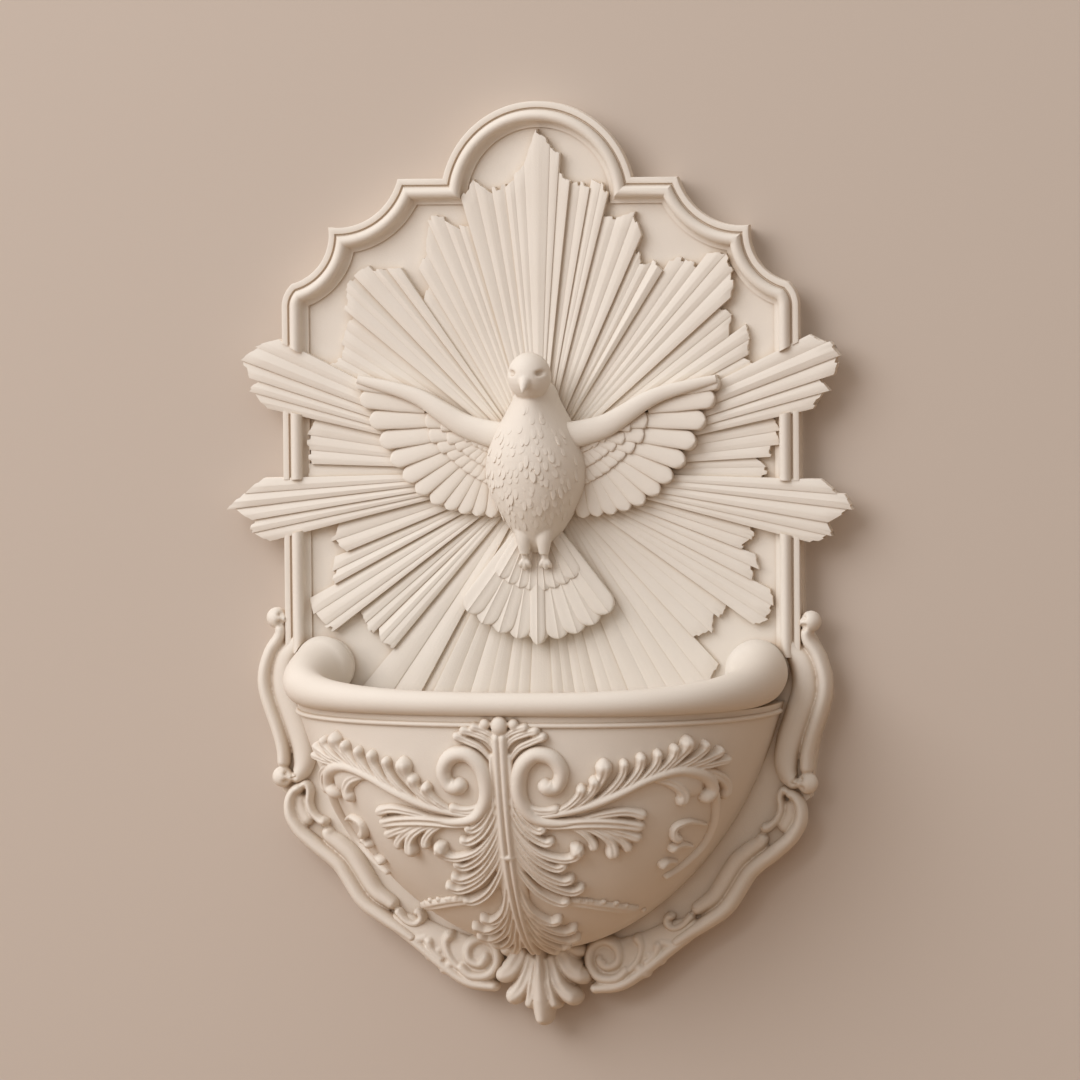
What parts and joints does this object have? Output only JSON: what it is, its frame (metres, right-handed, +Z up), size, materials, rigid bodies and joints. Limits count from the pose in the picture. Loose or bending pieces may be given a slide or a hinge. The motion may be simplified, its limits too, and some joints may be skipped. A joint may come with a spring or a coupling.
{
  "type": "holy water stoup",
  "caption": "Wall-hung holy water stoup: scalloped back plate with a dove on a glory of rays above a half-round basin carved with acanthus that holds a lift-out liner.",
  "frame": {"origin": "on the wall plane, behind the centre that the rays spread from", "axes": "+X to the viewer's right, +Y into the wall, +Z up; the front faces -Y"},
  "size_m": [0.3282, 0.123, 0.4823],
  "materials": {
    "cast_ivory": "matte",
    "glazed_liner": "satin",
    "zinc_plated_steel": "satin"
  },
  "bodies": {
    "stoup": {"back_plate": "cast_ivory", "crown_moulding": "cast_ivory", "shoulder_moulding_right": "cast_ivory", "shoulder_moulding_left": "cast_ivory", "middle_stile_right": "cast_ivory", "middle_stile_left": "cast_ivory", "lower_stile_right": "cast_ivory", "lower_stile_left": "cast_ivory", "top_rays": "cast_ivory", "crown_rays_right": "cast_ivory", "crown_rays_left": "cast_ivory", "shoulder_rays_right": "cast_ivory", "shoulder_rays_left": "cast_ivory", "upper_arm_rays_right": "cast_ivory", "upper_arm_rays_left": "cast_ivory", "middle_rays_right": "cast_ivory", "middle_rays_left": "cast_ivory", "lower_arm_rays_right": "cast_ivory", "lower_arm_rays_left": "cast_ivory", "side_rays_right": "cast_ivory", "side_rays_left": "cast_ivory", "basin_rays_right": "cast_ivory", "basin_rays_left": "cast_ivory", "tail_rays": "cast_ivory", "glory_hub": "cast_ivory", "dove_body": "cast_ivory", "wing_right": "cast_ivory", "wing_left": "cast_ivory", "tail": "cast_ivory", "foot_right": "cast_ivory", "foot_left": "cast_ivory", "basin_bowl": "cast_ivory", "basin_rim": "cast_ivory", "rim_bead": "cast_ivory", "acanthus_palm": "cast_ivory", "acanthus_volute_right": "cast_ivory", "acanthus_volute_left": "cast_ivory", "acanthus_branch_right": "cast_ivory", "acanthus_branch_left": "cast_ivory", "acanthus_leaf_right": "cast_ivory", "acanthus_leaf_left": "cast_ivory", "upper_scroll_right": "cast_ivory", "upper_scroll_left": "cast_ivory", "lower_scroll_right": "cast_ivory", "lower_scroll_left": "cast_ivory", "lower_volute_right": "cast_ivory", "lower_volute_left": "cast_ivory", "pendant_leaf": "cast_ivory", "hanger_plate_1": "zinc_plated_steel", "hanger_plate_2": "zinc_plated_steel", "hanger_screw_1": "zinc_plated_steel", "hanger_screw_2": "zinc_plated_steel", "hanger_screw_3": "zinc_plated_steel", "hanger_screw_4": "zinc_plated_steel", "basin_screw_1": "zinc_plated_steel", "basin_screw_2": "zinc_plated_steel", "dove_screw_1": "zinc_plated_steel", "dove_screw_2": "zinc_plated_steel"},
    "liner": {"water_liner": "glazed_liner"}
  },
  "joints": [
    {"name": "liner_lift", "type": "slide", "parent": "stoup", "child": "liner", "axis": [0, 0, 1], "range_m": [0, 0.058]}
  ]
}
